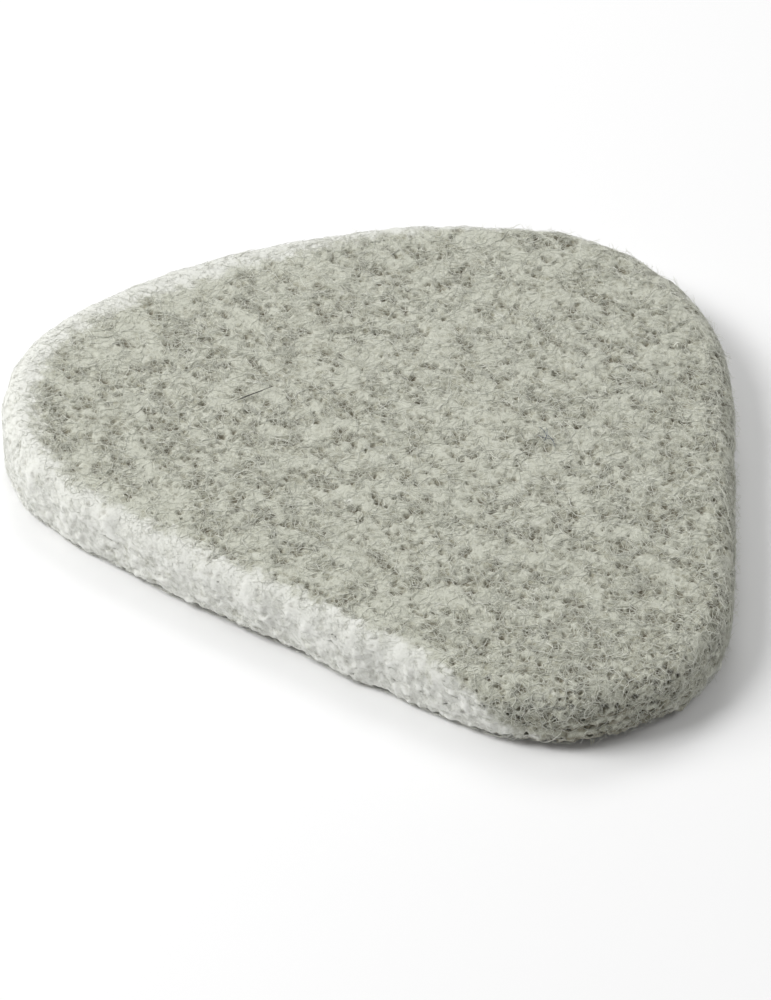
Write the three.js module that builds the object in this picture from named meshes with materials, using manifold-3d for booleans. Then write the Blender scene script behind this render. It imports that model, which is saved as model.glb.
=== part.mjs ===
// A flat laundry dryer pad of needle-punched wool felt: five plies, one on another, cut together to
// one rounded three-cornered outline. The upper edge is drawn down over a soft shoulder, and the
// lower edge is turned in a little.
//
// Millimetres, +Z up. The pad rests on z = 0, and the origin is below the middle of its bounding box.
// +X runs along the long front side, and the third corner points to +Y.

import * as THREE from "three";
import { mergeVertices } from "three/addons/utils/BufferGeometryUtils.js";
import Module from "manifold-3d";

// Outline: one circle in each corner, and a shallow arc along each side that touches both its circles.
const frontSpan = 51.2; // between the centres of the left and right corners, along X
const backCornerRun = 27.3; // from the left corner's centre to the back corner's, along X
const backCornerRise = 24.8; // and along Y
const leftCornerRadius = 21;
const rightCornerRadius = 19.1;
const backCornerRadius = 26.4;
const frontSideRadius = 400;
const rightSideRadius = 400;
const leftSideRadius = 76;

// Section: the plies' thicknesses, and the roundings of their edges.
const facePlyThickness = 1.5; // the two outer plies
const corePlyThickness = 1.5; // the three plies between them
const plyEdgeRounding = 0.3; // each ply's own edge, which leaves a crease between it and the next
const shoulderRadius = 2.8; // the pad's upper edge, over the top ply and most of the next
const footRadius = 0.9; // the pad's lower edge

// Facets.
const facetDeviation = 0.025; // how far the outline's flat facets fall inside its arcs
const plyEdgeFacets = 3;
const shoulderFacets = 6;
const footFacets = 4;

const wasm = await Module();
wasm.setup();

const corners = [
  { centre: new THREE.Vector2(0, 0), radius: leftCornerRadius },
  { centre: new THREE.Vector2(frontSpan, 0), radius: rightCornerRadius },
  { centre: new THREE.Vector2(backCornerRun, backCornerRise), radius: backCornerRadius },
];
const sideRadii = [frontSideRadius, rightSideRadius, leftSideRadius];

// The centre of the arc that touches both corner circles from outside and bulges away from the pad.
function sideCentre(from, to, radius) {
  const step = to.centre.clone().sub(from.centre);
  const span = step.length();
  const reachFrom = radius - from.radius;
  const reachTo = radius - to.radius;
  const along = (span ** 2 + reachFrom ** 2 - reachTo ** 2) / (2 * span);
  const across = Math.sqrt(reachFrom ** 2 - along ** 2);
  const direction = step.divideScalar(span);
  const inward = new THREE.Vector2(-direction.y, direction.x);
  return from.centre.clone().addScaledVector(direction, along).addScaledVector(inward, across);
}

// Points on an arc that runs anticlockwise, without its last one, which begins the next arc.
function arcPoints(arc, startAngle, endAngle) {
  const sweep = THREE.MathUtils.euclideanModulo(endAngle - startAngle, 2 * Math.PI);
  const facets = Math.ceil(sweep / (2 * Math.acos(1 - facetDeviation / arc.radius)));
  return Array.from({ length: facets }, (_, i) => {
    const angle = startAngle + (sweep * i) / facets;
    const reach = new THREE.Vector2(Math.cos(angle), Math.sin(angle)).multiplyScalar(arc.radius);
    return reach.add(arc.centre);
  });
}

// The outline's points, anticlockwise: round a corner, then along the side that leaves it.
function outlinePoints() {
  const count = corners.length;
  const sides = corners.map((corner, i) => {
    const next = corners[(i + 1) % count];
    return { centre: sideCentre(corner, next, sideRadii[i]), radius: sideRadii[i] };
  });
  const angleOf = (corner, side) => corner.centre.clone().sub(side.centre).angle();
  const points = corners.flatMap((corner, i) => {
    const next = corners[(i + 1) % count];
    const arriving = sides[(i + count - 1) % count];
    const leaving = sides[i];
    return [
      ...arcPoints(corner, angleOf(corner, arriving), angleOf(corner, leaving)),
      ...arcPoints(leaving, angleOf(corner, leaving), angleOf(next, leaving)),
    ];
  });
  const middle = new THREE.Box2().setFromPoints(points).getCenter(new THREE.Vector2());
  return points.map((point) => point.sub(middle));
}

const outline = new THREE.Shape(outlinePoints());

// A slab of the outline from one height to another, with both its edges rounded.
function roundedSlab(lowZ, highZ, rounding, facets) {
  const slab = new THREE.ExtrudeGeometry(outline, {
    depth: highZ - lowZ - 2 * rounding,
    bevelThickness: rounding,
    bevelSize: rounding,
    bevelOffset: -rounding,
    bevelSegments: facets,
  });
  return slab.translate(0, 0, lowZ + rounding);
}

function toManifold(geometry) {
  geometry.deleteAttribute("normal");
  geometry.deleteAttribute("uv");
  const merged = mergeVertices(geometry);
  return new wasm.Manifold(new wasm.Mesh({
    numProp: 3,
    vertProperties: merged.attributes.position.array,
    triVerts: new Uint32Array(merged.index.array),
  }));
}

function toGeometry(manifold) {
  const { vertProperties, triVerts } = manifold.getMesh();
  const geometry = new THREE.BufferGeometry();
  geometry.setAttribute("position", new THREE.BufferAttribute(vertProperties, 3));
  geometry.setIndex(new THREE.BufferAttribute(triVerts, 1));
  geometry.computeVertexNormals();
  return geometry;
}

const feltMaterials = {
  face: new THREE.MeshStandardMaterial({ color: 0xbabcab, roughness: 1, metalness: 0 }),
  core: new THREE.MeshStandardMaterial({ color: 0xc6c7bc, roughness: 1, metalness: 0 }),
};

// The plies, from the one that rests on the table upwards.
const plies = [
  { name: "bottom_face_ply", thickness: facePlyThickness, material: feltMaterials.face },
  { name: "lower_core_ply", thickness: corePlyThickness, material: feltMaterials.core },
  { name: "middle_core_ply", thickness: corePlyThickness, material: feltMaterials.core },
  { name: "upper_core_ply", thickness: corePlyThickness, material: feltMaterials.core },
  { name: "top_face_ply", thickness: facePlyThickness, material: feltMaterials.face },
];
const padThickness = plies.reduce((sum, ply) => sum + ply.thickness, 0);

// The whole pad's form. Each slab gives one of its edges, and runs on past the pad's other face.
const shoulderForm = roundedSlab(-2 * shoulderRadius, padThickness, shoulderRadius, shoulderFacets);
const footForm = roundedSlab(0, padThickness + 2 * footRadius, footRadius, footFacets);
const padForm = toManifold(shoulderForm).intersect(toManifold(footForm));

const pad = new THREE.Group();
let plyBottom = 0;
for (const ply of plies) {
  const plyTop = plyBottom + ply.thickness;
  const slab = toManifold(roundedSlab(plyBottom, plyTop, plyEdgeRounding, plyEdgeFacets));
  const mesh = new THREE.Mesh(toGeometry(slab.intersect(padForm)), ply.material);
  mesh.name = ply.name;
  pad.add(mesh);
  plyBottom = plyTop;
}

export default pad;
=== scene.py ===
"""A laundry dryer pad of thick needle-punched wool felt, lying on a pale table.

Metres, +Z up, in the CAD model's frame. Each of the five plies is one closed mesh, pitted where the
felting needles went in and lumpy where the cutter parted it. Loose wool lies over it in webs of fine
wavy fibres, which run round the pits, with cut ends on the side and a thin fuzz over the top.
"""

import math

import bpy
import numpy as np
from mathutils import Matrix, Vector, geometry


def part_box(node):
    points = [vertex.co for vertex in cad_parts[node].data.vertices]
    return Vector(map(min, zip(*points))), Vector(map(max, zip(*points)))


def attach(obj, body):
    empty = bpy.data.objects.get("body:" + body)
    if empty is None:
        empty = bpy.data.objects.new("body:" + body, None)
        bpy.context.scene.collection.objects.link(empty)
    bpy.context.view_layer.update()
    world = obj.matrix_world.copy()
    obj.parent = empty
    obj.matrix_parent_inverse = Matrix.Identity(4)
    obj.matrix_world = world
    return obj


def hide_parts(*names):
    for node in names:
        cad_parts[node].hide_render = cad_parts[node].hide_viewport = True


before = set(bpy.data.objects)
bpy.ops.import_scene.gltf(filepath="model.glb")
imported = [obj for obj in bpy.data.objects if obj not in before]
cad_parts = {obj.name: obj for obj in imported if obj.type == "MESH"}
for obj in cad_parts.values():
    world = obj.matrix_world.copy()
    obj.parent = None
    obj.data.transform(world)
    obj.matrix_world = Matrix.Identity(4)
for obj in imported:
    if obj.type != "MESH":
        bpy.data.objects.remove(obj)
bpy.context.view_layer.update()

MM = 0.001

# The pad's form, from the CAD plies.
PLIES = ["bottom_face_ply", "lower_core_ply", "middle_core_ply", "upper_core_ply", "top_face_ply"]
PAD_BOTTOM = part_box(PLIES[0])[0][2]
RAISED = 0.2 * MM  # how far the wool of the top stands above the CAD ply's face
PAD_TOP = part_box(PLIES[-1])[1][2] + RAISED
SHOULDER_RADIUS = 2.8 * MM
FOOT_RADIUS = 0.9 * MM

# How finely the felt is meshed.
OPEN_STEP = 0.256 * MM  # on top
RIM_STEP = 0.21 * MM
UNDER_STEP = 0.36 * MM
HIDDEN_STEP = 3.0 * MM  # between the plies
SKIN_STEP = 0.4 * MM  # the skin that fibres are laid on

# How unevenly it was cut.
OUTLINE_WANDER = 0.11 * MM
PLY_WANDER = 0.10 * MM
SEAM_DEPTH = 0.13 * MM
SEAM_WIDTH = 0.28 * MM
SEAM_WANDER = 0.20 * MM
FOOT_WANDER = 0.14 * MM

# Which way the fibres lie: neighbours share a turn, which drifts between these, and each strays from
# it by up to this much to either side. So they cross at nearly every angle.
FLOW = (math.radians(5), math.radians(65))
SCATTER = 3.1  # radians

# Where the lower edge stands clear of the table: the way there from the pad's middle, how far it
# spreads to each side, and how high the edge is.
LIFTS = [
    (math.radians(-33), math.radians(17), 0.75 * MM),
    (math.radians(-92), math.radians(28), 0.45 * MM),
]
LIFT_DEPTH = 8.0 * MM  # how far in under the pad the rise goes
FULL_LIFT = 0.7 * MM  # where it's raised this much, the hollow under it is at its full size:
UNDERCUT = 0.35 * MM  # how far the foot stands back
HOLLOW_HEIGHT = 1.3 * MM
HOLLOW_DEPTH = 2.0 * MM  # how far in from the outline its painted shade reaches
HEM_DEPTH = 3.0 * MM  # how far in from the outline loose wool is kept out of it

# How far the cutter's chalky band reaches in over the top, by the way there from the pad's middle.
# Where it's less than nothing, the wool of the top runs down over the side by that much.
BAND_ANGLES = np.radians([-180, -150, -120, -90, -62, -54, -46, -38, -15, 5, 40, 80, 110, 140, 165, 180])
BAND_WIDTHS = MM * np.array(
    [5.5, 4.2, 2.8, 2.6, 2.4, 0.5, -4.5, -6.5, -6.5, -5.0, -2.5, -0.5, 1.5, 3.0, 4.8, 5.5]
)
BAND_FADE = 3.0 * MM
FOOT_FADE = 0.7 * MM  # the band fades out again over this height above the lower edge, as painted shade along the foot

# The wool of the top thins out on its way down the side. There is none up to this height above the
# table or above the hollow, and it's at its fullest after this much more.
WOOL_END = 0.8 * MM
WOOL_FADE = 2.5 * MM


# ---- small helpers -------------------------------------------------------------------------------


class NodeKit:
    """Adds nodes to a tree and joins them, so that a pattern reads as a few lines."""

    def __init__(self, tree):
        self.tree = tree

    def add(self, kind, inputs=None, **settings):
        node = self.tree.nodes.new(kind)
        for name, value in settings.items():
            setattr(node, name, value)
        for key, value in (inputs or {}).items():
            socket = node.inputs[key]
            if isinstance(value, bpy.types.NodeSocket):
                self.tree.links.new(value, socket)
            else:
                socket.default_value = value
        return node

    def math(self, operation, *values, clamp=False):
        inputs = dict(enumerate(values))
        return self.add("ShaderNodeMath", inputs, operation=operation, use_clamp=clamp).outputs[0]

    def vector(self, operation, *values):
        inputs = dict(enumerate(values))
        node = self.add("ShaderNodeVectorMath", inputs, operation=operation)
        return node.outputs["Value" if operation in ("LENGTH", "DOT_PRODUCT", "DISTANCE") else 0]

    def scaled(self, vector, scale):
        inputs = {0: vector, "Scale": scale}
        return self.add("ShaderNodeVectorMath", inputs, operation="SCALE").outputs[0]

    def remap(self, value, low, high, to_low=0.0, to_high=1.0, smooth=False):
        inputs = {"Value": value, "From Min": low, "From Max": high, "To Min": to_low, "To Max": to_high}
        kind = "SMOOTHSTEP" if smooth else "LINEAR"
        return self.add("ShaderNodeMapRange", inputs, interpolation_type=kind).outputs[0]

    def mix(self, share, first, second):
        """The two colours mixed."""
        inputs = {0: share, 6: first, 7: second}  # a Mix node keeps its colours after its other types
        return self.add("ShaderNodeMix", inputs, data_type="RGBA").outputs[2]

    def random(self, low, high, seed, number=None):
        """A random value between the two limits, for each strand's number where one is given."""
        drawn = isinstance(low, tuple)
        node = self.add("FunctionNodeRandomValue", data_type="FLOAT_VECTOR" if drawn else "FLOAT")
        first = 0 if drawn else 2  # the node keeps its vector limits first, and then its float ones
        node.inputs[first].default_value, node.inputs[first + 1].default_value = low, high
        self.tree.links.new(seed, node.inputs["Seed"])
        if number is not None:
            self.tree.links.new(number, node.inputs["ID"])
        return node.outputs[0 if drawn else 1]

    def noise(self, vector, scale, detail=2.0, roughness=0.5):
        inputs = {"Vector": vector, "Scale": scale, "Detail": detail, "Roughness": roughness}
        return self.add("ShaderNodeTexNoise", inputs)

    def attribute(self, name):
        """A named attribute of the mesh, in a geometry tree."""
        node = self.add("GeometryNodeInputNamedAttribute", {"Name": name}, data_type="FLOAT")
        return node.outputs[0]

    def store(self, mesh, name, value):
        """The mesh with the value kept as a named attribute of its points."""
        inputs = {"Geometry": mesh, "Name": name, "Value": value}
        kind = "GeometryNodeStoreNamedAttribute"
        return self.add(kind, inputs, data_type="FLOAT", domain="POINT").outputs[0]

    def finish(self, mesh, material, socket):
        """Ends a geometry tree with the mesh, shaded smooth and in this material."""
        smooth = self.add("GeometryNodeSetShadeSmooth", {"Geometry": mesh}).outputs[0]
        realized = self.add("GeometryNodeRealizeInstances", {"Geometry": smooth}).outputs[0]
        inputs = {"Geometry": realized, "Material": material}
        dressed = self.add("GeometryNodeSetMaterial", inputs).outputs[0]
        self.tree.links.new(dressed, socket)


def new_geometry_tree(name, sockets):
    """A geometry tree with a mesh in and out, and the named inputs with their first values."""
    tree = bpy.data.node_groups.new(name, "GeometryNodeTree")
    tree.interface.new_socket("Geometry", in_out="OUTPUT", socket_type="NodeSocketGeometry")
    tree.interface.new_socket("Geometry", in_out="INPUT", socket_type="NodeSocketGeometry")
    for socket_name, kind in sockets.items():
        tree.interface.new_socket(socket_name, in_out="INPUT", socket_type="NodeSocket" + kind)
    kit = NodeKit(tree)
    return kit, kit.add("NodeGroupInput").outputs, kit.add("NodeGroupOutput").inputs


def grown(source, tree, name, values):
    """A plain mesh object: what the tree makes of the source object with these inputs."""
    modifier = source.modifiers.new("grow", "NODES")
    modifier.node_group = tree
    identifiers = {item.name: item.identifier for item in tree.interface.items_tree
                   if item.in_out == "INPUT"}
    for key, value in values.items():
        modifier[identifiers[key]] = value
    depsgraph = bpy.context.evaluated_depsgraph_get()
    depsgraph.update()
    evaluated = source.evaluated_get(depsgraph)
    mesh = bpy.data.meshes.new_from_object(evaluated, preserve_all_data_layers=True, depsgraph=depsgraph)
    source.modifiers.remove(modifier)
    mesh.name = name
    piece = bpy.data.objects.new(name, mesh)
    bpy.context.scene.collection.objects.link(piece)
    return piece


def mesh_object(name, points, faces, attributes=None):
    mesh = bpy.data.meshes.new(name)
    mesh.from_pydata(points, [], faces)
    for key, values in (attributes or {}).items():
        layer = mesh.attributes.new(key, "FLOAT", "POINT")
        layer.data.foreach_set("value", np.asarray(values, dtype=np.float32))
    mesh.update()
    piece = bpy.data.objects.new(name, mesh)
    bpy.context.scene.collection.objects.link(piece)
    return piece


# ---- the pad's form ------------------------------------------------------------------------------


def enclosed_area(outline):
    """The area inside an outline, which is negative if it runs clockwise."""
    ahead = np.roll(outline, -1)
    return float((outline.real * ahead.imag - outline.imag * ahead.real).sum() / 2)


def cad_outline(node_name, step):
    """The node's outline from above, as evenly spaced complex numbers, with its facets smoothed."""
    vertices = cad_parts[node_name].data.vertices
    flat = sorted({(round(v.co.x, 6), round(v.co.y, 6)) for v in vertices})
    hull = geometry.convex_hull_2d([Vector(p) for p in flat])
    points = np.array([complex(*flat[i]) for i in hull])
    if enclosed_area(points) < 0:
        points = points[::-1]
    points = np.roll(points, -int(np.argmax(points.real)))
    closed = np.append(points, points[0])
    length = np.concatenate([[0], np.cumsum(np.abs(np.diff(closed)))])
    count = int(round(length[-1] / step))
    at = np.arange(count) * length[-1] / count
    even = np.interp(at, length, closed.real) + 1j * np.interp(at, length, closed.imag)
    smoothing = 1.5 * MM
    waves = np.fft.fftfreq(count, length[-1] / count) * 2 * math.pi
    return np.fft.ifft(np.fft.fft(even) * np.exp(-((waves * smoothing) ** 2) / 2))


def outward(outline):
    """The unit normals of an anticlockwise outline."""
    along = np.roll(outline, -1) - np.roll(outline, 1)
    return -1j * along / np.abs(along)


OUTLINE = cad_outline("middle_core_ply", RIM_STEP)
OUTLINE_LENGTH = float(np.abs(np.roll(OUTLINE, -1) - OUTLINE).sum())


def wander(shortest, longest, seed):
    """A smooth random curve round the outline, with waves of these lengths and a spread of about 1."""
    random = np.random.default_rng(seed)
    first, last = max(1, round(OUTLINE_LENGTH / longest)), round(OUTLINE_LENGTH / shortest)
    turns = np.arange(first, last + 1)
    size = turns ** -0.5
    phase = random.uniform(0, 2 * math.pi, len(turns))
    angle = np.linspace(0, 2 * math.pi, len(OUTLINE), endpoint=False)[:, None] * turns + phase
    return (np.sin(angle) * size).sum(1) / math.sqrt((size ** 2).sum() / 2)


CUT_OUTLINE = OUTLINE + outward(OUTLINE) * OUTLINE_WANDER * wander(5 * MM, 40 * MM, seed=3)


def outline_reach(flat):
    """How far from the pad's middle the outline is, on the way to each point."""
    return np.interp(np.angle(flat), np.angle(OUTLINE), np.abs(OUTLINE), period=2 * math.pi)


def edge_lift(flat):
    """How much the lower edge is raised, on the way to each point."""
    return sum(
        height * np.exp(-((np.angle(flat * np.exp(-1j * towards)) / spread) ** 2))
        for towards, spread, height in LIFTS
    )


def hollow_share(flat):
    """How fully the hollow under the raised edge is formed, on the way to each point."""
    return np.clip(edge_lift(flat) / FULL_LIFT, 0, 1)


def pad_inset(heights):
    """How far the pad's shoulder and foot draw in its side at each height."""
    up = np.clip((heights - (PAD_TOP - SHOULDER_RADIUS)) / SHOULDER_RADIUS, 0, 1)
    down = np.clip((PAD_BOTTOM + FOOT_RADIUS - heights) / FOOT_RADIUS, 0, 1)
    return SHOULDER_RADIUS * (1 - np.sqrt(1 - up ** 2)) + FOOT_RADIUS * (1 - np.sqrt(1 - down ** 2))


def pad_section(low, high, step):
    """The pad's side from one height to another, as evenly spaced (inset, height) pairs."""
    heights = low + (high - low) * (1 - np.cos(np.linspace(0, math.pi, 2000))) / 2
    inset = pad_inset(heights)
    length = np.concatenate([[0], np.cumsum(np.hypot(np.diff(inset), np.diff(heights)))])
    at = np.linspace(0, length[-1], int(math.ceil(length[-1] / step)) + 1)
    return np.interp(at, length, inset), np.interp(at, length, heights)


def cap_points(ring, step):
    """A triangular lattice of points inside a ring, and how far inside it each one is."""
    middle = ring.mean()
    around = np.angle(ring - middle)
    order = np.argsort(around)
    around, reach = around[order], np.abs(ring - middle)[order]
    rows = np.arange(ring.imag.min(), ring.imag.max(), step * math.sqrt(3) / 2)
    across = np.arange(ring.real.min(), ring.real.max(), step)
    lattice = np.array([
        complex(x + (i % 2) * step / 2, y) for i, y in enumerate(rows) for x in across
    ])
    edge = np.interp(np.angle(lattice - middle), around, reach, period=2 * math.pi)
    depth = edge - np.abs(lattice - middle)
    clear = depth > 0.7 * step
    return lattice[clear], depth[clear]


def cap_faces(ring, inside):
    """Triangles over a ring and the points inside it, which are numbered after the ring's."""
    flat = [Vector((p.real / MM, p.imag / MM)) for p in np.concatenate([ring, inside])]
    count = len(ring)
    edges = [(i, (i + 1) % count) for i in range(count)]
    points, _, faces, *_ = geometry.delaunay_2d_cdt(flat, edges, [], 1, 1e-7)
    assert len(points) == len(flat)
    return np.array(faces)


def cut_band(points):
    """How far each point is into the band that the cutter left chalky, 0 to 1, with 0.5 along its
    inner edge. It runs round the side, and on over the top by the widths above."""
    flat = points[:, 0] + 1j * points[:, 1]
    down = np.clip(PAD_TOP - points[:, 2], 0, None)
    inward = np.clip(outline_reach(flat) - np.abs(flat), 0, None)
    width = np.interp(np.angle(flat), BAND_ANGLES, BAND_WIDTHS)
    above = points[:, 2] - PAD_BOTTOM - edge_lift(flat)
    into = np.clip(0.5 + (width - inward + down) / BAND_FADE, 0, 1)
    # Faded out just above the lower edge, which paints shade along the foot.
    return into * np.clip(above / FOOT_FADE, 0, 1)


def hollow(points):
    """How much painted shade each point gets from lying in a hollow, 0 to 1: under the raised
    edge, and in the seams, which gape where it's raised by more than two thirds of FULL_LIFT."""
    flat = points[:, 0] + 1j * points[:, 1]
    lift = edge_lift(flat)
    height = (points[:, 2] - PAD_BOTTOM - lift) / (1 - lift / (PAD_TOP - PAD_BOTTOM))
    foot = np.clip(1.3 * hollow_share(flat) - height / HOLLOW_HEIGHT, 0, 1)
    gape = 0.8 * np.clip(3 * hollow_share(flat) - 2, 0, 1)
    seams = sum(
        np.exp(-(((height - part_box(name)[0][2]) / SEAM_WIDTH) ** 2)) for name in PLIES[1:-1]
    )
    near_edge = np.abs(flat) > outline_reach(flat) - HOLLOW_DEPTH
    return np.where(near_edge, np.maximum(foot, gape * seams), 0)


def slab(name, rings, top_step, bottom_step, low, high):
    """A closed mesh through rings of (points, heights), from the lowest to the highest. Its ends are
    filled with points this far apart, and level off at the low and high heights. An end that lies on
    another ply has sharp edges, and the attribute open marks its inner points 0 and all others 1. The
    attribute hollow is the painted shade of hollow, and cut is cut_band, kept out of that shade."""
    count = len(rings[0][0])
    points = [np.stack([p.real, p.imag, z], axis=1) for p, z in rings]
    shown = [np.ones(count) for _ in rings]
    here, after = np.arange(count), np.roll(np.arange(count), -1)
    faces = []
    for i in range(len(rings) - 1):
        a, b = i * count, (i + 1) * count
        faces += np.stack([a + here, a + after, b + after, b + here], axis=1).tolist()
    seams = []
    start = count * len(rings)
    for (ring, heights), step, base, level, up in (
        (rings[-1], top_step, (len(rings) - 1) * count, high, True),
        (rings[0], bottom_step, 0, low, False),
    ):
        inside, depth = cap_points(ring, step)
        triangles = cap_faces(ring, inside)
        numbers = np.concatenate([base + here, start + np.arange(len(inside))])[triangles]
        faces += (numbers if up else numbers[:, ::-1]).tolist()
        rise = np.interp(np.angle(inside), np.angle(ring), heights - level, period=2 * math.pi)
        height = level + rise * np.exp(-((depth / LIFT_DEPTH) ** 2))
        points.append(np.stack([inside.real, inside.imag, height], axis=1))
        covered = step == HIDDEN_STEP
        shown.append(np.full(len(inside), 0.0 if covered else 1.0))
        seams.append(base + here if covered else [])
        start += len(inside)
    points = np.concatenate(points)
    shown = np.concatenate(shown)
    # Painted shade under the raised edge and in its seams; the chalky band is kept out of it.
    dark = hollow(points)
    marks = {"open": shown, "cut": cut_band(points) * (1 - dark), "hollow": dark}
    piece = mesh_object(name, points.tolist(), faces, marks)
    on_seam = np.isin(np.arange(len(points)), np.concatenate(seams))
    ends = np.empty(2 * len(piece.data.edges), dtype=np.int32)
    piece.data.edges.foreach_get("vertices", ends)
    sharp = piece.data.attributes.new("sharp_edge", "BOOLEAN", "EDGE")
    sharp.data.foreach_set("value", on_seam[ends.reshape(-1, 2)].all(axis=1))
    return piece


def ply_heights(number):
    """The heights of a ply's lower and upper faces."""
    lowest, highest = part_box(PLIES[number])
    return lowest[2], PAD_TOP if number == len(PLIES) - 1 else highest[2]


def seam_heights(number):
    """The height of the seam under a ply, all round. The lowest is the pad's lower edge, and the one
    past the last ply is the pad's top."""
    if number == 0:
        ragged = FOOT_WANDER * (1.2 + wander(0.8 * MM, 8 * MM, seed=20))
        return PAD_BOTTOM + np.clip(ragged, 0, None) + edge_lift(OUTLINE)
    if number == len(PLIES):
        return np.full(len(OUTLINE), PAD_TOP)
    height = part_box(PLIES[number])[0][2]
    fade = 1 - number / len(PLIES)
    wave = SEAM_WANDER * wander(2.5 * MM, 20 * MM, seed=20 + number)
    return height + wave + fade * edge_lift(OUTLINE)


def ply_rings(number):
    """The rings of a ply's side, which bulges here and there, with a crease at each seam that comes
    and goes."""
    low, high = ply_heights(number)
    inset, heights = pad_section(low, high, RIM_STEP)
    own = PLY_WANDER * wander(1.2 * MM, 9 * MM, seed=40 + number)
    bottom, top = seam_heights(number), seam_heights(number + 1)
    gape = 1 + edge_lift(OUTLINE) / (2 * MM)
    rings = []
    for ring_inset, height in zip(inset, heights):
        share = (height - low) / (high - low)
        near_top = min(1.0, (PAD_TOP - height) / SHOULDER_RADIUS)
        draw = np.full(len(OUTLINE), ring_inset)
        for seam, distance in ((number, height - low), (number + 1, high - height)):
            if 0 < seam < len(PLIES):
                come_and_go = np.clip(0.9 * wander(0.8 * MM, 6 * MM, seed=60 + seam), 0, 1.7)
                depth = SEAM_DEPTH * come_and_go * near_top ** 2 * gape
                draw = draw + depth * math.exp(-((distance / SEAM_WIDTH) ** 2))
        if number == 0:
            fade = math.exp(-(((height - low) / (0.8 * HOLLOW_HEIGHT)) ** 2))
            draw = draw + UNDERCUT * hollow_share(OUTLINE) * fade
        bulge = own * near_top * 4 * share * (1 - share)
        ring = CUT_OUTLINE + outward(OUTLINE) * (bulge - draw)
        rings.append((ring, bottom + (top - bottom) * share))
    return rings


def pad_skin():
    """The whole pad's outer skin, which the loose wool is laid on. The attributes top, side and under
    say where each kind of wool lies, and kept_up how low any of it may hang."""
    inset, heights = pad_section(PAD_BOTTOM, PAD_TOP, SKIN_STEP)
    lift = edge_lift(OUTLINE)
    rings = []
    for i, z in zip(inset, heights):
        lowness = 1 - (z - PAD_BOTTOM) / (PAD_TOP - PAD_BOTTOM)
        rings.append((CUT_OUTLINE - outward(OUTLINE) * i, z + lift * lowness))
    skin = slab("pad_skin", rings, SKIN_STEP, SKIN_STEP, PAD_BOTTOM, PAD_TOP)
    mesh = skin.data
    z = np.array([v.co.z for v in mesh.vertices])
    flat = np.array([v.co.x + 1j * v.co.y for v in mesh.vertices])
    cut = np.array([item.value for item in mesh.attributes["cut"].data])
    clear = 1 - np.array([item.value for item in mesh.attributes["hollow"].data])
    out, reach = np.abs(flat), outline_reach(flat)
    hem = HOLLOW_HEIGHT * hollow_share(flat)
    full = np.clip((z - PAD_BOTTOM - hem - WOOL_END) / WOOL_FADE, 0, 1)
    under = (out < reach - FOOT_RADIUS) * (z < PAD_BOTTOM + 2 * MM)
    marks = {
        "top": np.clip((0.95 - cut) / 0.6, 0, 1) * full * clear,
        "side": np.maximum(cut, 0.5 * (1 - full)) * (1 - under) * clear,
        "under": under * clear,
        "kept_up": PAD_BOTTOM + hem * (out > reach - HEM_DEPTH),
    }
    for key, values in marks.items():
        layer = mesh.attributes.new(key, "FLOAT", "POINT")
        layer.data.foreach_set("value", values.astype(np.float32))
    return skin


def fine_tube(path, width):
    """The points and faces of a closed three-sided tube along a path, drawn out thin at its ends."""
    path = np.array(path)
    along = np.gradient(path, axis=0)
    along /= np.linalg.norm(along, axis=1)[:, None]
    aside = np.cross(along, (0.0, 0.0, 1.0))
    aside /= np.linalg.norm(aside, axis=1)[:, None]
    upward = np.cross(aside, along)
    share = np.linspace(-1, 1, len(path))[:, None]
    radius = width / 2 * (1 - 0.75 * share ** 4)
    turns = [0.5, 0.5 + 2 * math.pi / 3, 0.5 + 4 * math.pi / 3]
    sides = [math.cos(turn) * aside + math.sin(turn) * upward for turn in turns]
    points = np.stack([path + radius * side for side in sides], axis=1).reshape(-1, 3)
    faces = [(0, 1, 2), tuple(len(points) - 1 - i for i in range(3))]
    for i in range(0, len(points) - 3, 3):
        for a, b in ((0, 1), (1, 2), (2, 0)):
            faces.append((i + a, i + 3 + a, i + 3 + b, i + b))
    return points, faces


def stray_fibres(name, paths, width, material):
    """Single fibres of other wool, each through its own points, which are curved smoothly."""
    points, faces = [], []
    for path in paths:
        path = np.array(path) * MM
        count = len(path)
        at = np.linspace(0, count - 1, 6 * count)
        bends = [np.polyfit(np.arange(count), path[:, k], min(3, count - 1)) for k in range(3)]
        curve = np.stack([np.polyval(bend, at) for bend in bends], axis=1)
        tube, sides = fine_tube(curve, width)
        faces += [tuple(i + len(points) for i in side) for side in sides]
        points += tube.tolist()
    piece = mesh_object(name, points, faces)
    piece.data.materials.append(material)
    return piece


# ---- geometry trees ------------------------------------------------------------------------------


def warped(kit, position, size, strength):
    """The position, pushed about by up to roughly this much over this size."""
    push = kit.noise(position, 1 / size, detail=1.0).outputs["Color"]
    push = kit.scaled(kit.vector("SUBTRACT", push, (0.5, 0.5, 0.5)), 2 * strength)
    return kit.vector("ADD", position, push)


def not_below(kit, place, height):
    """The place, raised to this height where it lies lower."""
    least = kit.add("ShaderNodeCombineXYZ", {0: -1.0, 1: -1.0, 2: height}).outputs[0]
    return kit.vector("MAXIMUM", place, least)


def openness(kit, position):
    """0 where the wool is matted smooth, and 1 where it is open and pitted. It is more open towards
    the right-hand corner."""
    drawn = kit.vector("MULTIPLY", position, (1.0, 1.35, 0.5))
    broad = kit.noise(drawn, 1 / (2.8 * MM), detail=2.0, roughness=0.65).outputs["Fac"]
    place = kit.add("ShaderNodeSeparateXYZ", {0: position}).outputs
    # The wool opens up towards the right-hand corner, so it is darker and more pitted there.
    rightwards = kit.remap(place["X"], 18 * MM, 44 * MM, 0.0, 0.11)
    down = kit.remap(place["Z"], PAD_TOP - 0.8 * MM, PAD_TOP - 3.0 * MM, 0.0, 0.08)
    return kit.remap(kit.math("ADD", broad, kit.math("ADD", rightwards, down)), 0.38, 0.60, smooth=True)


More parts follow.
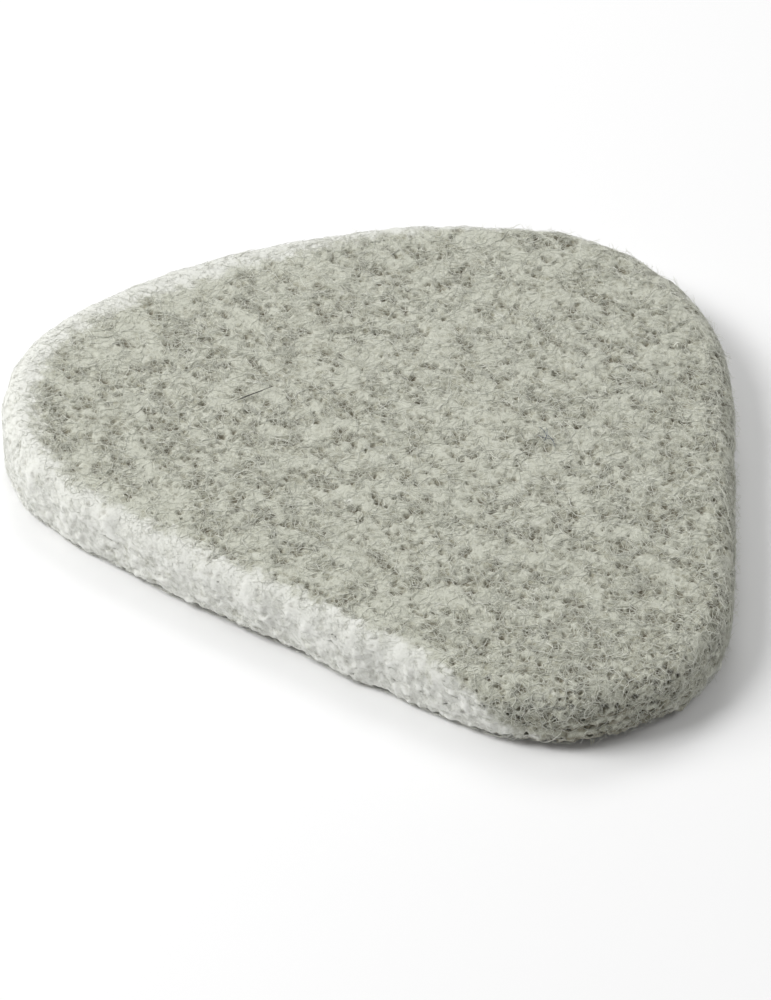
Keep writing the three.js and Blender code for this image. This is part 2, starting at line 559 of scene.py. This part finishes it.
def pits(kit, position, spacing):
    """Where the needles went in: how near each point is to a pit's middle, 0 to 1, and the way out of
    the pit along the surface. Each pit has its own size and a ragged edge, and matted stretches have
    hardly any."""
    drawn = kit.vector("MULTIPLY", warped(kit, position, 0.6 * MM, 0.45 * MM), (1.0, 1.0, 1.4))
    cells = kit.add(
        "ShaderNodeTexVoronoi",
        {"Vector": drawn, "Scale": kit.math("DIVIDE", 1.0, spacing), "Randomness": 1.0},
    )
    own = kit.add("ShaderNodeSeparateXYZ", {0: cells.outputs["Color"]}).outputs[0]
    reach = kit.remap(openness(kit, position), 0.0, 1.0, 0.22, 0.76)
    reach = kit.math("MULTIPLY", reach, kit.remap(own, 0.0, 1.0, 0.35, 1.25))
    ragged = kit.noise(position, 1 / (0.38 * MM), detail=1.0).outputs["Fac"]
    reach = kit.math("MULTIPLY", reach, kit.remap(ragged, 0.3, 0.7, 0.30, 1.55))
    share = kit.math("DIVIDE", cells.outputs["Distance"], reach)
    nearness = kit.math("SUBTRACT", 1.0, share, clamp=True)
    way_out = kit.vector("NORMALIZE", kit.vector("SUBTRACT", drawn, cells.outputs["Position"]))
    return nearness, way_out


def felt_surface_tree():
    """Pits, lumps and nap on a ply's open faces, shallower on the cut side. The attribute pit says how
    much painted shade each point gets, in a pit or in the hollow at the foot."""
    kit, given, out = new_geometry_tree("felt_surface", {
        "Pit spacing": "Float",
        "Pit depth": "Float",
        "Lump height": "Float",
        "Nap height": "Float",
        "Lowest": "Float",
        "Material": "Material",
    })
    position = kit.add("GeometryNodeInputPosition").outputs[0]
    normal = kit.add("GeometryNodeInputNormal").outputs[0]
    shown, cut, painted_hollow_shade = (kit.attribute(name) for name in ("open", "cut", "hollow"))
    nearness, _ = pits(kit, position, given["Pit spacing"])
    deep = kit.remap(kit.math("MULTIPLY_ADD", cut, -0.25, nearness), 0.0, 0.85, smooth=True)
    lumps = kit.noise(position, 1 / (1.7 * MM), detail=2.0).outputs["Fac"]
    nap = kit.noise(position, 1 / (0.38 * MM), detail=1.0).outputs["Fac"]
    raised = kit.math("MULTIPLY", kit.math("SUBTRACT", lumps, 0.5), given["Lump height"])
    raised = kit.math("MULTIPLY_ADD", kit.math("SUBTRACT", nap, 0.5), given["Nap height"], raised)
    raised = kit.math("MULTIPLY", raised, kit.math("MULTIPLY_ADD", cut, -0.60, 1.0))
    depth = kit.math("MULTIPLY", given["Pit depth"], kit.math("MULTIPLY_ADD", cut, -0.65, 1.0))
    raised = kit.math("SUBTRACT", raised, kit.math("MULTIPLY", deep, depth))
    place = kit.vector("ADD", position, kit.scaled(normal, kit.math("MULTIPLY", raised, shown)))
    place = not_below(kit, place, given["Lowest"])
    # Painted shade: darker in the pits, and in the hollow and seams at the foot.
    dark = kit.math("MAXIMUM", kit.math("MULTIPLY", deep, shown), painted_hollow_shade)
    marked = kit.store(given["Geometry"], "pit", dark)
    moved = kit.add("GeometryNodeSetPosition", {"Geometry": marked, "Position": place})
    kit.finish(moved.outputs[0], given["Material"], out["Geometry"])
    return kit.tree


def loose_wool_tree():
    """Wavy tapered fibres over the skin, denser where the named attribute is higher."""
    kit, given, out = new_geometry_tree("loose_wool", {
        "Where": "String",
        "Density": "Float",
        "Matted share": "Float",
        "Length": "Float",
        "Thickness": "Float",
        "Joints": "Int",
        "Curl": "Float",
        "Curl size": "Float",
        "Pit spacing": "Float",
        "Pit clearance": "Float",
        "Weave": "Float",
        "Height": "Float",
        "Stand": "Float",
        "Lowest": "Float",
        "Seed": "Int",
        "Material": "Material",
    })
    skin = given["Geometry"]
    root = kit.add("GeometryNodeInputPosition").outputs[0]
    share = kit.remap(openness(kit, root), 0.0, 1.0, given["Matted share"], 1.0)
    share = kit.math("MULTIPLY", kit.attribute(given["Where"]), share)
    roots = kit.add("GeometryNodeDistributePointsOnFaces", {
        "Mesh": skin,
        "Density": kit.math("MULTIPLY", share, given["Density"]),
        "Seed": given["Seed"],
    })
    flow = kit.noise(root, 1 / (14 * MM), detail=0.0).outputs["Fac"]
    strayed = kit.math("MULTIPLY", kit.random(-1.0, 1.0, given["Seed"]), SCATTER)
    turn = kit.math("ADD", kit.remap(flow, 0.3, 0.7, *FLOW), strayed)
    spin = kit.add("FunctionNodeAxisAngleToRotation", {"Axis": (0.0, 0.0, 1.0), "Angle": turn}).outputs[0]
    facing = kit.add("FunctionNodeRotateRotation", {
        "Rotation": roots.outputs["Rotation"], "Rotate By": spin,
    }, rotation_space="LOCAL").outputs[0]
    bow = kit.add("GeometryNodeCurveQuadraticBezier", {
        "Start": (0.0, 0.0, 0.0), "Middle": (0.5, 0.8, 0.0), "End": (1.0, 0.0, 0.0),
    })
    beads = kit.add("GeometryNodeResampleCurve", {"Curve": bow.outputs[0], "Count": given["Joints"]})
    length = kit.math("MULTIPLY", given["Length"], kit.random(0.45, 1.35, given["Seed"]))
    bent = kit.math("MULTIPLY", length, kit.random(-1.3, 1.3, kit.math("ADD", given["Seed"], 100.0)))
    laid = kit.add("GeometryNodeInstanceOnPoints", {
        "Points": roots.outputs["Points"],
        "Instance": beads.outputs[0],
        "Rotation": facing,
        "Scale": kit.add("ShaderNodeCombineXYZ", {0: length, 1: bent, 2: length}).outputs[0],
    })
    strands = kit.add("GeometryNodeRealizeInstances", {"Geometry": laid.outputs[0]}).outputs[0]

    index = kit.add("GeometryNodeInputIndex").outputs[0]
    inputs = {"Value": index}
    strand = kit.add("GeometryNodeFieldOnDomain", inputs, domain="CURVE", data_type="INT").outputs[0]
    own = kit.random((-1.0, -1.0, -1.0), (1.0, 1.0, 1.0), given["Seed"], number=strand)
    position = kit.add("GeometryNodeInputPosition").outputs[0]
    along = kit.add("GeometryNodeSplineParameter").outputs["Factor"]

    def waves(size, strength, shift):
        """A push this strong, that changes over this size, and is each strand's own by the shift."""
        looked_up = kit.vector("ADD", position, kit.scaled(own, shift))
        colour = kit.noise(looked_up, kit.math("DIVIDE", 1.0, size), detail=1.0).outputs["Color"]
        centred = kit.vector("SUBTRACT", colour, (0.5, 0.5, 0.5))
        return kit.scaled(centred, kit.math("MULTIPLY", strength, 4.0))

    shared = waves(kit.math("MULTIPLY", given["Curl size"], 2.4), given["Curl"], 0.0)
    single = waves(given["Curl size"], given["Curl"], 0.05)
    curled = kit.vector("ADD", position, kit.vector("ADD", shared, single))

    nearness, way_out = pits(kit, curled, given["Pit spacing"])
    aside = kit.math("MULTIPLY", nearness, given["Pit clearance"])
    curled = kit.vector("ADD", curled, kit.scaled(way_out, aside))

    def of_skin(value, kind):
        """The skin's own value, nearest to each point of the strands."""
        inputs = {"Mesh": skin, "Value": value, "Sample Position": curled}
        return kit.add("GeometryNodeSampleNearestSurface", inputs, data_type=kind).outputs[0]

    inputs = {0: skin, "Sample Position": curled}
    nearest = kit.add("GeometryNodeProximity", inputs, target_element="FACES")
    normal = of_skin(kit.add("GeometryNodeInputNormal").outputs[0], "FLOAT_VECTOR")
    looked_up = kit.vector("ADD", position, kit.scaled(own, 0.05))
    fineness = kit.math("DIVIDE", 0.7, given["Curl size"])
    over_under = kit.noise(looked_up, fineness, detail=0.0).outputs["Fac"]
    woven = kit.math("MULTIPLY", kit.math("SUBTRACT", over_under, 0.5), given["Weave"])
    risen = kit.math("MULTIPLY", kit.math("MULTIPLY", along, along), given["Stand"])
    height = kit.math("ADD", kit.math("ADD", woven, given["Height"]), risen)
    place = kit.vector("ADD", nearest.outputs["Position"], kit.scaled(normal, height))
    hem = of_skin(kit.attribute("kept_up"), "FLOAT")
    place = not_below(kit, place, kit.math("MAXIMUM", hem, given["Lowest"]))
    lain = kit.add("GeometryNodeSetPosition", {"Geometry": strands, "Position": place}).outputs[0]

    endness = kit.math("ABSOLUTE", kit.math("MULTIPLY_ADD", along, 2.0, -1.0))
    fullness = kit.math("MULTIPLY_ADD", kit.math("POWER", endness, 4.0), -0.7, 1.0)
    girth = kit.math("MULTIPLY_ADD", kit.vector("DOT_PRODUCT", own, (0.35, 0.0, 0.0)), 1.0, 1.0)
    radius = kit.math("MULTIPLY", given["Thickness"], kit.math("MULTIPLY", fullness, girth))
    radius = kit.math("MULTIPLY", radius, 0.5)
    tone = kit.math("MULTIPLY_ADD", kit.vector("DOT_PRODUCT", own, (0.0, 0.5, 0.0)), 1.0, 0.5)
    toned = kit.store(lain, "tone", tone)
    profile = kit.add("GeometryNodeCurvePrimitiveCircle", {"Resolution": 3, "Radius": 1.0}).outputs[0]
    tubes = kit.add("GeometryNodeCurveToMesh", {
        "Curve": toned, "Profile Curve": profile, "Scale": radius, "Fill Caps": True,
    })
    kit.finish(tubes.outputs[0], given["Material"], out["Geometry"])
    return kit.tree


# ---- materials -----------------------------------------------------------------------------------


def strand_net(kit, place, spacing, width):
    """A net of fine crossing strands, 1 on a strand and 0 between, with meshes about this wide."""
    drawn = warped(kit, place, 0.9 * spacing, 0.42 * spacing)
    inputs = {"Vector": drawn, "Scale": 1 / spacing}
    cells = kit.add("ShaderNodeTexVoronoi", inputs, feature="DISTANCE_TO_EDGE")
    return kit.remap(cells.outputs["Distance"], 0.0, width, 1.0, 0.0, smooth=True)


def new_material(name, roughness, sheen):
    """A matte fibre material with a little sheen, with its kit and its shader."""
    material = bpy.data.materials.new(name)
    material.use_nodes = True
    kit = NodeKit(material.node_tree)
    shader = material.node_tree.nodes["Principled BSDF"]
    shader.inputs["Roughness"].default_value = roughness
    shader.inputs["Sheen Weight"].default_value = sheen
    shader.inputs["Sheen Roughness"].default_value = 0.5
    shader.inputs["Specular IOR Level"].default_value = 0.2
    return material, kit, shader


def felt_tone_group():
    """The felt's colour and grain: matted wool paler than open wool, fine streaks of fibre, painted
    brownish shade in the pits and the hollow at the foot, and chalky on the cut side."""
    tree = bpy.data.node_groups.new("felt_tone", "ShaderNodeTree")
    for socket_name in ("Matted", "Open", "Deep", "Chalk"):
        tree.interface.new_socket(socket_name, in_out="INPUT", socket_type="NodeSocketColor")
    for socket_name in ("Pit", "Chalkiness"):
        tree.interface.new_socket(socket_name, in_out="INPUT", socket_type="NodeSocketFloat")
    tree.interface.new_socket("Color", in_out="OUTPUT", socket_type="NodeSocketColor")
    tree.interface.new_socket("Height", in_out="OUTPUT", socket_type="NodeSocketFloat")
    kit = NodeKit(tree)
    given, out = kit.add("NodeGroupInput").outputs, kit.add("NodeGroupOutput").inputs
    place = kit.add("ShaderNodeTexCoord").outputs["Object"]
    speckle = kit.noise(place, 1 / (0.5 * MM), detail=2.0, roughness=0.7).outputs["Fac"]
    patches = kit.noise(place, 1 / (1.3 * MM), detail=2.0, roughness=0.6).outputs["Fac"]
    nets = [strand_net(kit, place, 1.0 * MM, 0.11), strand_net(kit, place, 0.62 * MM, 0.15)]
    net = kit.math("MAXIMUM", nets[0], kit.math("MULTIPLY", nets[1], 0.8))
    open_wool = openness(kit, place)
    darkness = kit.math("MULTIPLY_ADD", open_wool, 0.55, kit.remap(patches, 0.35, 0.68, -0.15, 0.55))
    darkness = kit.math("ADD", darkness, kit.remap(speckle, 0.35, 0.7, 0.2, -0.2))
    darkness = kit.math("SUBTRACT", darkness, kit.math("MULTIPLY", net, 0.7), clamp=True)
    wool = kit.mix(darkness, given["Matted"], given["Open"])
    powder = kit.math("MULTIPLY", given["Chalkiness"], kit.remap(speckle, 0.2, 0.45, 0.6, 1.0))
    chalky = kit.mix(powder, wool, given["Chalk"])
    # Painted shade: the pits and the hollow mixed towards the deep colour, less so on the chalk.
    shade = kit.math("MULTIPLY", given["Pit"], kit.math("MULTIPLY_ADD", given["Chalkiness"], -0.60, 1.0))
    pitted = kit.mix(shade, chalky, given["Deep"])
    tree.links.new(pitted, out["Color"])
    crumb = kit.noise(place, 1 / (0.16 * MM), detail=1.0).outputs["Fac"]
    grain = kit.math("MULTIPLY_ADD", crumb, 0.5, speckle)
    relief = kit.math("MULTIPLY", net, kit.math("MULTIPLY_ADD", given["Chalkiness"], -0.42, 0.5))
    tree.links.new(kit.math("ADD", relief, grain), out["Height"])
    return tree


def felt_material(name, tone, chalkiness, **colours):
    """Needled felt, which turns chalky in the band that the cutter left."""
    material, kit, shader = new_material(name, 0.95, 0.25)
    group = kit.add("ShaderNodeGroup", node_tree=tone)
    for key, colour in colours.items():
        group.inputs[key.capitalize()].default_value = (*colour, 1)
    place = kit.add("ShaderNodeTexCoord").outputs["Object"]
    cut = kit.add("ShaderNodeAttribute", attribute_name="cut").outputs["Fac"]
    tufts = kit.noise(place, 1 / (1.6 * MM), detail=3.0, roughness=0.65).outputs["Fac"]
    edge = kit.math("MULTIPLY_ADD", kit.math("SUBTRACT", tufts, 0.5), 2.2, cut)
    chalk = kit.remap(edge, 0.20, 0.95, 0.0, chalkiness, smooth=True)
    kit.tree.links.new(chalk, group.inputs["Chalkiness"])
    # The attribute pit carries the painted shade of the pits and the hollow.
    pit = kit.add("ShaderNodeAttribute", attribute_name="pit").outputs["Fac"]
    kit.tree.links.new(pit, group.inputs["Pit"])
    kit.tree.links.new(group.outputs["Color"], shader.inputs["Base Color"])
    inputs = {"Height": group.outputs["Height"], "Distance": 0.08 * MM, "Strength": 0.8}
    kit.tree.links.new(kit.add("ShaderNodeBump", inputs).outputs[0], shader.inputs["Normal"])
    return material


def wool_material(name, pale, dark):
    """Loose wool, each fibre with its own tone."""
    material, kit, shader = new_material(name, 0.8, 0.3)
    tone = kit.add("ShaderNodeAttribute", attribute_name="tone").outputs["Fac"]
    kit.tree.links.new(kit.mix(tone, (*dark, 1), (*pale, 1)), shader.inputs["Base Color"])
    return material


def plain_wool(name, colour):
    material, _, shader = new_material(name, 0.6, 0.1)
    shader.inputs["Base Color"].default_value = (*colour, 1)
    return material


# ---- the pieces ----------------------------------------------------------------------------------

tone = felt_tone_group()
FELT = {
    "matted": (0.57, 0.577, 0.495),
    "open": (0.33, 0.325, 0.25),
    # painted shade in the pits and the hollow, a little brownish
    "deep": (0.19, 0.170, 0.120),
    "chalk": (0.77, 0.775, 0.73),
}
face_felt = felt_material("face_felt", tone, chalkiness=0.9, **FELT)
core_felt = felt_material("core_felt", tone, chalkiness=1.0, **FELT)
web_wool = wool_material("web_wool", (0.66, 0.667, 0.58), (0.53, 0.537, 0.455))
pale_wool = wool_material("pale_wool", (0.79, 0.795, 0.72), (0.63, 0.637, 0.555))
cut_wool = wool_material("cut_wool", (0.79, 0.795, 0.745), (0.70, 0.705, 0.655))

PIT_SPACING = 0.95 * MM
LUMP_HEIGHT = 0.22 * MM

surface = felt_surface_tree()
plies = []
for number, name in enumerate(PLIES):
    lowest, highest = number == 0, number == len(PLIES) - 1
    blank = slab(
        name + "_blank",
        ply_rings(number),
        OPEN_STEP if highest else HIDDEN_STEP,
        UNDER_STEP if lowest else HIDDEN_STEP,
        *ply_heights(number),
    )
    outer = lowest or highest
    ply = grown(blank, surface, name.replace("_ply", "_felt"), {
        "Pit spacing": PIT_SPACING,
        "Pit depth": (0.60 if outer else 0.45) * MM,
        "Lump height": LUMP_HEIGHT,
        "Nap height": 0.12 * MM,
        "Lowest": PAD_BOTTOM,
        "Material": face_felt if highest else core_felt,
    })
    bpy.data.objects.remove(blank)
    plies.append(ply)

# The coats of loose wool: where each lies, its fibres a square millimetre and their share on matted
# wool, then a fibre's length, thickness, joints, curl and the size of its curls, how far it's pushed
# out of the pits, how far it weaves up and down, its height and how far its end stands up. The
# lengths are in millimetres.
WOOL = {
    "top_web_1": ("top", 0.88, 0.5, 2.6, 0.054, 8, 0.32, 0.8, 0.25, 0.08, 0.00, 0.0, web_wool),
    "top_web_2": ("top", 0.88, 0.5, 2.6, 0.048, 8, 0.34, 0.8, 0.25, 0.12, 0.02, 0.0, pale_wool),
    "top_loops_1": ("top", 0.7, 0.40, 3.0, 0.072, 9, 0.45, 0.9, 0.30, 0.16, 0.03, 0.0, pale_wool),
    "top_loops_2": ("top", 0.7, 0.40, 2.4, 0.064, 9, 0.45, 0.7, 0.30, 0.24, 0.08, 0.1, pale_wool),
    "rim_cut_1": ("side", 5.2, 1.0, 0.5, 0.042, 4, 0.14, 0.5, 0.0, 0.09, 0.00, 0.06, cut_wool),
    "rim_cut_2": ("side", 5.0, 1.0, 0.4, 0.034, 4, 0.14, 0.5, 0.0, 0.10, 0.01, 0.14, cut_wool),
    "rim_web": ("side", 1.0, 0.5, 1.2, 0.036, 6, 0.24, 0.6, 0.05, 0.10, 0.04, 0.15, cut_wool),
    "under_web": ("under", 1.0, 0.5, 3.0, 0.060, 7, 0.35, 0.9, 0.25, 0.12, 0.02, 0.0, web_wool),
    "fuzz": ("top", 1.15, 0.6, 1.6, 0.036, 6, 0.35, 0.8, 0.0, 0.20, 0.10, 0.7, pale_wool),
}
blank = pad_skin()
skin = grown(blank, surface, "skin", {
    "Pit spacing": PIT_SPACING,
    "Pit depth": 0.0,
    "Lump height": LUMP_HEIGHT,
    "Nap height": 0.0,
    "Lowest": PAD_BOTTOM,
    "Material": face_felt,
})
bpy.data.objects.remove(blank)
strew = loose_wool_tree()
wool = []
for seed, (name, (where, density, matted, *fibre, material)) in enumerate(WOOL.items()):
    length, thick, joints, curl, size, clear, weave, height, stand = fibre
    wool.append(grown(skin, strew, name, {
        "Where": where,
        "Density": density / MM ** 2,
        "Matted share": matted,
        "Length": length * MM,
        "Thickness": thick * MM,
        "Joints": joints,
        "Curl": curl * MM,
        "Curl size": size * MM,
        "Pit spacing": PIT_SPACING,
        "Pit clearance": clear * MM,
        "Weave": weave * MM,
        "Height": height * MM,
        "Stand": stand * MM,
        "Lowest": PAD_BOTTOM + thick * MM,
        "Seed": seed,
        "Material": material,
    }))
bpy.data.objects.remove(skin)

dark_wool = plain_wool("dark_wool", (0.035, 0.034, 0.030))
blue_wool = plain_wool("blue_wool", (0.07, 0.09, 0.13))
wool += [
    stray_fibres("stray_dark_hair", [
        [(-19.3, -12.9, 7.95), (-18.4, -11.2, 8.10), (-17.6, -9.8, 8.20), (-16.9, -8.3, 8.20)],
        [(-18.9, -12.2, 7.95), (-18.0, -10.6, 8.15), (-17.5, -9.5, 8.05)],
    ], 0.10 * MM, dark_wool),
    stray_fibres("stray_blue_fibres", [
        [(11.6, 3.6, 7.8), (12.6, 3.2, 8.0), (13.4, 2.5, 7.9)],
        [(12.5, 3.9, 7.9), (13.2, 2.9, 8.0), (13.5, 1.9, 7.8)],
        [(13.1, 2.9, 8.0), (14.3, 2.4, 8.0), (15.1, 1.7, 7.8)],
        [(12.2, 2.4, 7.8), (13.4, 2.3, 8.0), (14.4, 2.9, 7.9)],
    ], 0.08 * MM, blue_wool),
    stray_fibres("pale_tuft", [
        [(16.9, 24.6, 7.8), (17.3, 24.2, 8.1), (17.6, 23.7, 8.0)],
        [(17.0, 24.0, 7.8), (17.3, 24.3, 8.2), (17.8, 24.5, 7.9)],
        [(17.4, 24.7, 7.8), (17.3, 24.2, 8.2), (17.1, 23.7, 7.9)],
        [(39.0, -27.3, 1.0), (39.5, -27.8, 0.6), (39.7, -28.3, 0.4)],
        [(38.7, -27.6, 0.9), (39.2, -28.0, 0.6), (39.6, -28.5, 0.3)],
    ], 0.16 * MM, pale_wool),
]

for piece in plies + wool:
    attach(piece, "root")
for node_name, ply in zip(PLIES, plies):
    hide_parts(node_name)

# ---- table, light and camera ---------------------------------------------------------------------

TABLE_REACH = 1.5
LAMP_SIZE = 0.35
LAMP_DISTANCE = 0.8
CAMERA_AZIMUTH, CAMERA_ELEVATION = 34.62, 44.0
CAMERA_DISTANCE = 0.5
CAMERA_TARGET = Vector((-0.46, -9.49, 0.0)) * MM


def table_top():
    ways = [(-1, -1), (1, -1), (1, 1), (-1, 1)]
    corners = [(TABLE_REACH * x, TABLE_REACH * y, PAD_BOTTOM) for x, y in ways]
    table = mesh_object("table", corners, [(0, 1, 2, 3)])
    material = bpy.data.materials.new("pale_table")
    material.use_nodes = True
    shader = material.node_tree.nodes["Principled BSDF"]
    shader.inputs["Base Color"].default_value = (0.94, 0.94, 0.94, 1)
    shader.inputs["Roughness"].default_value = 0.9
    table.data.materials.append(material)


def look_from(azimuth, elevation, distance, target):
    """A place at this distance from the target, and the rotation that looks back at it."""
    a, e = math.radians(azimuth), math.radians(elevation)
    way = Vector((math.sin(a) * math.cos(e), -math.cos(a) * math.cos(e), math.sin(e)))
    return target + way * distance, (-way).to_track_quat("-Z", "Y").to_euler()


def placed(name, data, azimuth, elevation, distance, target):
    """An object with this data, which looks at the target from there."""
    holder = bpy.data.objects.new(name, data)
    holder.location, holder.rotation_euler = look_from(azimuth, elevation, distance, target)
    bpy.context.scene.collection.objects.link(holder)
    return holder


def soft_lamp(name, azimuth, elevation, power):
    lamp = bpy.data.lights.new(name, "AREA")
    lamp.shape, lamp.size, lamp.energy = "DISK", LAMP_SIZE, power
    placed(name, lamp, azimuth, elevation, LAMP_DISTANCE, Vector((0, 0, PAD_TOP)))


camera_data = bpy.data.cameras.new("camera")
camera_data.lens, camera_data.sensor_width = 157.7, 36.0
camera_data.clip_start = 0.01
camera = placed(
    "camera", camera_data, CAMERA_AZIMUTH, CAMERA_ELEVATION, CAMERA_DISTANCE, CAMERA_TARGET
)
bpy.context.scene.camera = camera

table_top()
for name, azimuth, elevation, power in (
    ("window", -62, 34, 1.95),
    ("window_high", -48, 50, 3.2),
    ("left", -100, 50, 0.35),
    ("back_left", -145, 50, 1.2),
    ("right", 130, 45, 0.9),
):
    soft_lamp(name, azimuth, elevation, power)
world = bpy.data.worlds.new("studio")
world.use_nodes = True
background = world.node_tree.nodes["Background"]
background.inputs["Color"].default_value = (1, 1, 1, 1)
background.inputs["Strength"].default_value = 0.26
bpy.context.scene.world = world
bpy.context.scene.view_settings.view_transform = "Standard"
